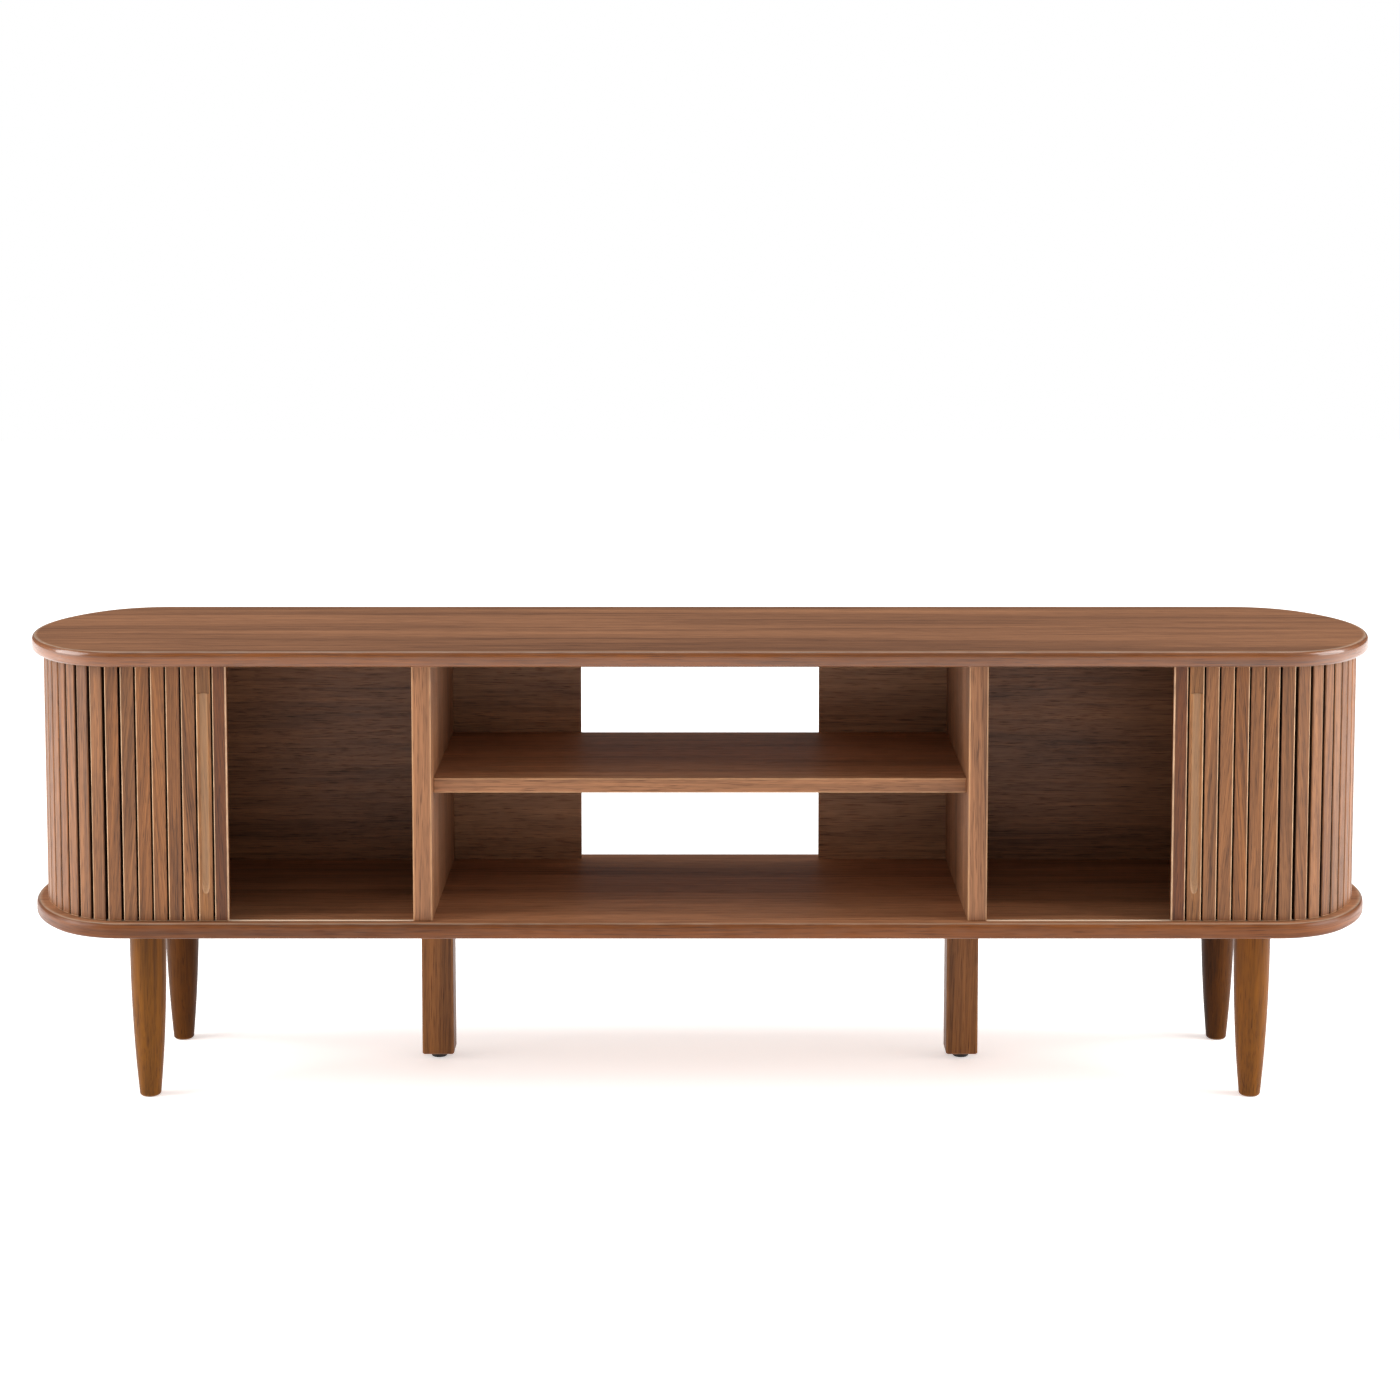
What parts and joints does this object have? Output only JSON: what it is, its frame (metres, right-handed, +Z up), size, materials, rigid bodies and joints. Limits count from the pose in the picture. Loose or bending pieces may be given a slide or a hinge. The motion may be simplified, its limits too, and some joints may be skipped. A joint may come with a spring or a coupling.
{
  "type": "media cabinet",
  "caption": "Low media cabinet with oval ends, sliding tambour doors that run round the ends, an open shelved centre bay and tapered legs.",
  "frame": {"origin": "on the floor, under the middle of the cabinet's width and depth", "axes": "+X to the right seen from the front, +Y to the back, +Z up"},
  "size_m": [1.6496, 0.35, 0.556],
  "materials": {
    "walnut_boards": "satin",
    "walnut_slats": "satin",
    "round_leg_wood": "satin",
    "beech": "matte",
    "zinc_steel": "satin",
    "black_plastic": "matte",
    "canvas": "matte"
  },
  "bodies": {
    "carcass": {"top_slab": "walnut_boards", "bottom_slab": "walnut_boards", "left_divider": "walnut_boards", "right_divider": "walnut_boards", "shelf": "walnut_boards", "left_bay_back": "walnut_boards", "right_bay_back": "walnut_boards", "left_centre_back": "walnut_boards", "right_centre_back": "walnut_boards", "front_left_leg": "round_leg_wood", "front_right_leg": "round_leg_wood", "rear_left_leg": "round_leg_wood", "rear_right_leg": "round_leg_wood", "left_centre_leg": "walnut_boards", "right_centre_leg": "walnut_boards", "leg_inserts": "zinc_steel", "leg_bolts": "zinc_steel", "divider_dowels": "beech", "shelf_dowels": "beech", "door_stops": "beech"},
    "left_levelling_foot": {"left_levelling_foot": "black_plastic"},
    "right_levelling_foot": {"right_levelling_foot": "black_plastic"},
    "left_door": {"left_door_stile": "walnut_slats", "left_handle_slat": "walnut_slats", "left_lead_slats": "walnut_slats", "left_door_canvas": "canvas"},
    "left_slat_08": {"left_slat_08": "walnut_slats"},
    "left_slat_09": {"left_slat_09": "walnut_slats"},
    "left_slat_10": {"left_slat_10": "walnut_slats"},
    "left_slat_11": {"left_slat_11": "walnut_slats"},
    "left_slats_12_13": {"left_slats_12_13": "walnut_slats"},
    "left_slats_14_15": {"left_slats_14_15": "walnut_slats"},
    "left_slats_16_17": {"left_slats_16_17": "walnut_slats"},
    "left_slats_18_19": {"left_slats_18_19": "walnut_slats"},
    "left_slats_20_21": {"left_slats_20_21": "walnut_slats"},
    "left_slats_22_23": {"left_slats_22_23": "walnut_slats"},
    "left_slats_24_25": {"left_slats_24_25": "walnut_slats"},
    "left_slats_26_28": {"left_slats_26_28": "walnut_slats"},
    "left_slats_29_31": {"left_slats_29_31": "walnut_slats"},
    "left_slats_32_35": {"left_slats_32_35": "walnut_slats"},
    "left_slats_36_39": {"left_slats_36_39": "walnut_slats"},
    "right_door": {"right_door_stile": "walnut_slats", "right_handle_slat": "walnut_slats", "right_lead_slats": "walnut_slats", "right_door_canvas": "canvas"},
    "right_slat_08": {"right_slat_08": "walnut_slats"},
    "right_slat_09": {"right_slat_09": "walnut_slats"},
    "right_slat_10": {"right_slat_10": "walnut_slats"},
    "right_slat_11": {"right_slat_11": "walnut_slats"},
    "right_slats_12_13": {"right_slats_12_13": "walnut_slats"},
    "right_slats_14_15": {"right_slats_14_15": "walnut_slats"},
    "right_slats_16_17": {"right_slats_16_17": "walnut_slats"},
    "right_slats_18_19": {"right_slats_18_19": "walnut_slats"},
    "right_slats_20_21": {"right_slats_20_21": "walnut_slats"},
    "right_slats_22_23": {"right_slats_22_23": "walnut_slats"},
    "right_slats_24_25": {"right_slats_24_25": "walnut_slats"},
    "right_slats_26_28": {"right_slats_26_28": "walnut_slats"},
    "right_slats_29_31": {"right_slats_29_31": "walnut_slats"},
    "right_slats_32_35": {"right_slats_32_35": "walnut_slats"},
    "right_slats_36_39": {"right_slats_36_39": "walnut_slats"}
  },
  "joints": [
    {"name": "left_foot_turn", "type": "hinge", "parent": "carcass", "child": "left_levelling_foot", "pos_m": [-0.3315, 0.04, 0], "axis": [0, 0, 1], "continuous": true},
    {"name": "right_foot_turn", "type": "hinge", "parent": "carcass", "child": "right_levelling_foot", "pos_m": [0.3315, 0.04, 0], "axis": [0, 0, 1], "continuous": true},
    {"name": "left_door_slide", "type": "slide", "parent": "carcass", "child": "left_door", "axis": [1, 0, 0], "range_m": [0, 0.2197]},
    {"name": "left_slat_08_turn", "type": "hinge", "parent": "carcass", "child": "left_slat_08", "pos_m": [-0.5846, 1.99383, 0.383], "axis": [0, 0, 1], "range_deg": [0, 5.88]},
    {"name": "left_slat_09_turn", "type": "hinge", "parent": "carcass", "child": "left_slat_09", "pos_m": [-0.5936, 0.55358, 0.383], "axis": [0, 0, 1], "range_deg": [0, 17.74]},
    {"name": "left_slat_10_turn", "type": "hinge", "parent": "carcass", "child": "left_slat_10", "pos_m": [-0.6026, 0.26615, 0.383], "axis": [0, 0, 1], "range_deg": [0, 29.59]},
    {"name": "left_slat_11_turn", "type": "hinge", "parent": "carcass", "child": "left_slat_11", "pos_m": [-0.6116, 0.14235, 0.383], "axis": [0, 0, 1], "range_deg": [0, 41.44]},
    {"name": "left_slats_12_13_turn", "type": "hinge", "parent": "carcass", "child": "left_slats_12_13", "pos_m": [-0.62079, 0.07352, 0.383], "axis": [0, 0, 1], "range_deg": [0, 53.28]},
    {"name": "left_slats_14_15_turn", "type": "hinge", "parent": "carcass", "child": "left_slats_14_15", "pos_m": [-0.6323, 0.03317, 0.383], "axis": [0, 0, 1], "range_deg": [0, 64.49]},
    {"name": "left_slats_16_17_turn", "type": "hinge", "parent": "carcass", "child": "left_slats_16_17", "pos_m": [-0.64555, 0.00675, 0.383], "axis": [0, 0, 1], "range_deg": [0, 75.7]},
    {"name": "left_slats_18_19_turn", "type": "hinge", "parent": "carcass", "child": "left_slats_18_19", "pos_m": [-0.65987, -0.01061, 0.383], "axis": [0, 0, 1], "range_deg": [0, 86.91]},
    {"name": "left_slats_20_21_turn", "type": "hinge", "parent": "carcass", "child": "left_slats_20_21", "pos_m": [-0.66192, -0.01323, 0.383], "axis": [0, 0, 1], "range_deg": [0, 88.77]},
    {"name": "left_slats_22_23_turn", "type": "hinge", "parent": "carcass", "child": "left_slats_22_23", "pos_m": [-0.63799, -0.00381, 0.383], "axis": [0, 0, 1], "range_deg": [0, 76.27]},
    {"name": "left_slats_24_25_turn", "type": "hinge", "parent": "carcass", "child": "left_slats_24_25", "pos_m": [-0.618, 0, 0.383], "axis": [0, 0, 1], "range_deg": [0, 68.43]},
    {"name": "left_slats_26_28_turn", "type": "hinge", "parent": "carcass", "child": "left_slats_26_28", "pos_m": [-0.62737, 0.00104, 0.383], "axis": [0, 0, 1], "range_deg": [0, 71.88]},
    {"name": "left_slats_29_31_turn", "type": "hinge", "parent": "carcass", "child": "left_slats_29_31", "pos_m": [-0.66265, 0.01337, 0.383], "axis": [0, 0, 1], "range_deg": [0, 89.11]},
    {"name": "left_slats_32_35_turn", "type": "hinge", "parent": "carcass", "child": "left_slats_32_35", "pos_m": [-0.64719, -0.00304, 0.383], "axis": [0, 0, 1], "range_deg": [0, 77.47]},
    {"name": "left_slats_36_39_turn", "type": "hinge", "parent": "carcass", "child": "left_slats_36_39", "pos_m": [-0.62146, -0.06592, 0.383], "axis": [0, 0, 1], "range_deg": [0, 54.93]},
    {"name": "right_door_slide", "type": "slide", "parent": "carcass", "child": "right_door", "axis": [-1, 0, 0], "range_m": [0, 0.2197]},
    {"name": "right_slat_08_turn", "type": "hinge", "parent": "carcass", "child": "right_slat_08", "pos_m": [0.5846, 1.99383, 0.383], "axis": [0, 0, -1], "range_deg": [0, 5.88]},
    {"name": "right_slat_09_turn", "type": "hinge", "parent": "carcass", "child": "right_slat_09", "pos_m": [0.5936, 0.55358, 0.383], "axis": [0, 0, -1], "range_deg": [0, 17.74]},
    {"name": "right_slat_10_turn", "type": "hinge", "parent": "carcass", "child": "right_slat_10", "pos_m": [0.6026, 0.26615, 0.383], "axis": [0, 0, -1], "range_deg": [0, 29.59]},
    {"name": "right_slat_11_turn", "type": "hinge", "parent": "carcass", "child": "right_slat_11", "pos_m": [0.6116, 0.14235, 0.383], "axis": [0, 0, -1], "range_deg": [0, 41.44]},
    {"name": "right_slats_12_13_turn", "type": "hinge", "parent": "carcass", "child": "right_slats_12_13", "pos_m": [0.62079, 0.07352, 0.383], "axis": [0, 0, -1], "range_deg": [0, 53.28]},
    {"name": "right_slats_14_15_turn", "type": "hinge", "parent": "carcass", "child": "right_slats_14_15", "pos_m": [0.6323, 0.03317, 0.383], "axis": [0, 0, -1], "range_deg": [0, 64.49]},
    {"name": "right_slats_16_17_turn", "type": "hinge", "parent": "carcass", "child": "right_slats_16_17", "pos_m": [0.64555, 0.00675, 0.383], "axis": [0, 0, -1], "range_deg": [0, 75.7]},
    {"name": "right_slats_18_19_turn", "type": "hinge", "parent": "carcass", "child": "right_slats_18_19", "pos_m": [0.65987, -0.01061, 0.383], "axis": [0, 0, -1], "range_deg": [0, 86.91]},
    {"name": "right_slats_20_21_turn", "type": "hinge", "parent": "carcass", "child": "right_slats_20_21", "pos_m": [0.66192, -0.01323, 0.383], "axis": [0, 0, -1], "range_deg": [0, 88.77]},
    {"name": "right_slats_22_23_turn", "type": "hinge", "parent": "carcass", "child": "right_slats_22_23", "pos_m": [0.63799, -0.00381, 0.383], "axis": [0, 0, -1], "range_deg": [0, 76.27]},
    {"name": "right_slats_24_25_turn", "type": "hinge", "parent": "carcass", "child": "right_slats_24_25", "pos_m": [0.618, 0, 0.383], "axis": [0, 0, -1], "range_deg": [0, 68.43]},
    {"name": "right_slats_26_28_turn", "type": "hinge", "parent": "carcass", "child": "right_slats_26_28", "pos_m": [0.62737, 0.00104, 0.383], "axis": [0, 0, -1], "range_deg": [0, 71.88]},
    {"name": "right_slats_29_31_turn", "type": "hinge", "parent": "carcass", "child": "right_slats_29_31", "pos_m": [0.66265, 0.01337, 0.383], "axis": [0, 0, -1], "range_deg": [0, 89.11]},
    {"name": "right_slats_32_35_turn", "type": "hinge", "parent": "carcass", "child": "right_slats_32_35", "pos_m": [0.64719, -0.00304, 0.383], "axis": [0, 0, -1], "range_deg": [0, 77.47]},
    {"name": "right_slats_36_39_turn", "type": "hinge", "parent": "carcass", "child": "right_slats_36_39", "pos_m": [0.62146, -0.06592, 0.383], "axis": [0, 0, -1], "range_deg": [0, 54.93]}
  ],
  "couplings": [
    {"joint": "left_slat_08_turn", "follows": "left_door_slide", "rad_per_m": 0.46563},
    {"joint": "left_slat_09_turn", "follows": "left_door_slide", "rad_per_m": 1.4074},
    {"joint": "left_slat_10_turn", "follows": "left_door_slide", "rad_per_m": 2.3491},
    {"joint": "left_slat_11_turn", "follows": "left_door_slide", "rad_per_m": 3.2908},
    {"joint": "left_slats_12_13_turn", "follows": "left_door_slide", "rad_per_m": 4.231},
    {"joint": "left_slats_14_15_turn", "follows": "left_door_slide", "rad_per_m": 5.1215},
    {"joint": "left_slats_16_17_turn", "follows": "left_door_slide", "rad_per_m": 6.012},
    {"joint": "left_slats_18_19_turn", "follows": "left_door_slide", "rad_per_m": 6.9026},
    {"joint": "left_slats_20_21_turn", "follows": "left_door_slide", "rad_per_m": 7.0502},
    {"joint": "left_slats_22_23_turn", "follows": "left_door_slide", "rad_per_m": 6.0573},
    {"joint": "left_slats_24_25_turn", "follows": "left_door_slide", "rad_per_m": 5.4348},
    {"joint": "left_slats_26_28_turn", "follows": "left_door_slide", "rad_per_m": 5.7085},
    {"joint": "left_slats_29_31_turn", "follows": "left_door_slide", "rad_per_m": 7.0778},
    {"joint": "left_slats_32_35_turn", "follows": "left_door_slide", "rad_per_m": 6.1526},
    {"joint": "left_slats_36_39_turn", "follows": "left_door_slide", "rad_per_m": 4.3623},
    {"joint": "right_slat_08_turn", "follows": "right_door_slide", "rad_per_m": 0.46563},
    {"joint": "right_slat_09_turn", "follows": "right_door_slide", "rad_per_m": 1.4074},
    {"joint": "right_slat_10_turn", "follows": "right_door_slide", "rad_per_m": 2.3491},
    {"joint": "right_slat_11_turn", "follows": "right_door_slide", "rad_per_m": 3.2908},
    {"joint": "right_slats_12_13_turn", "follows": "right_door_slide", "rad_per_m": 4.231},
    {"joint": "right_slats_14_15_turn", "follows": "right_door_slide", "rad_per_m": 5.1215},
    {"joint": "right_slats_16_17_turn", "follows": "right_door_slide", "rad_per_m": 6.012},
    {"joint": "right_slats_18_19_turn", "follows": "right_door_slide", "rad_per_m": 6.9026},
    {"joint": "right_slats_20_21_turn", "follows": "right_door_slide", "rad_per_m": 7.0502},
    {"joint": "right_slats_22_23_turn", "follows": "right_door_slide", "rad_per_m": 6.0573},
    {"joint": "right_slats_24_25_turn", "follows": "right_door_slide", "rad_per_m": 5.4348},
    {"joint": "right_slats_26_28_turn", "follows": "right_door_slide", "rad_per_m": 5.7085},
    {"joint": "right_slats_29_31_turn", "follows": "right_door_slide", "rad_per_m": 7.0778},
    {"joint": "right_slats_32_35_turn", "follows": "right_door_slide", "rad_per_m": 6.1526},
    {"joint": "right_slats_36_39_turn", "follows": "right_door_slide", "rad_per_m": 4.3623}
  ]
}
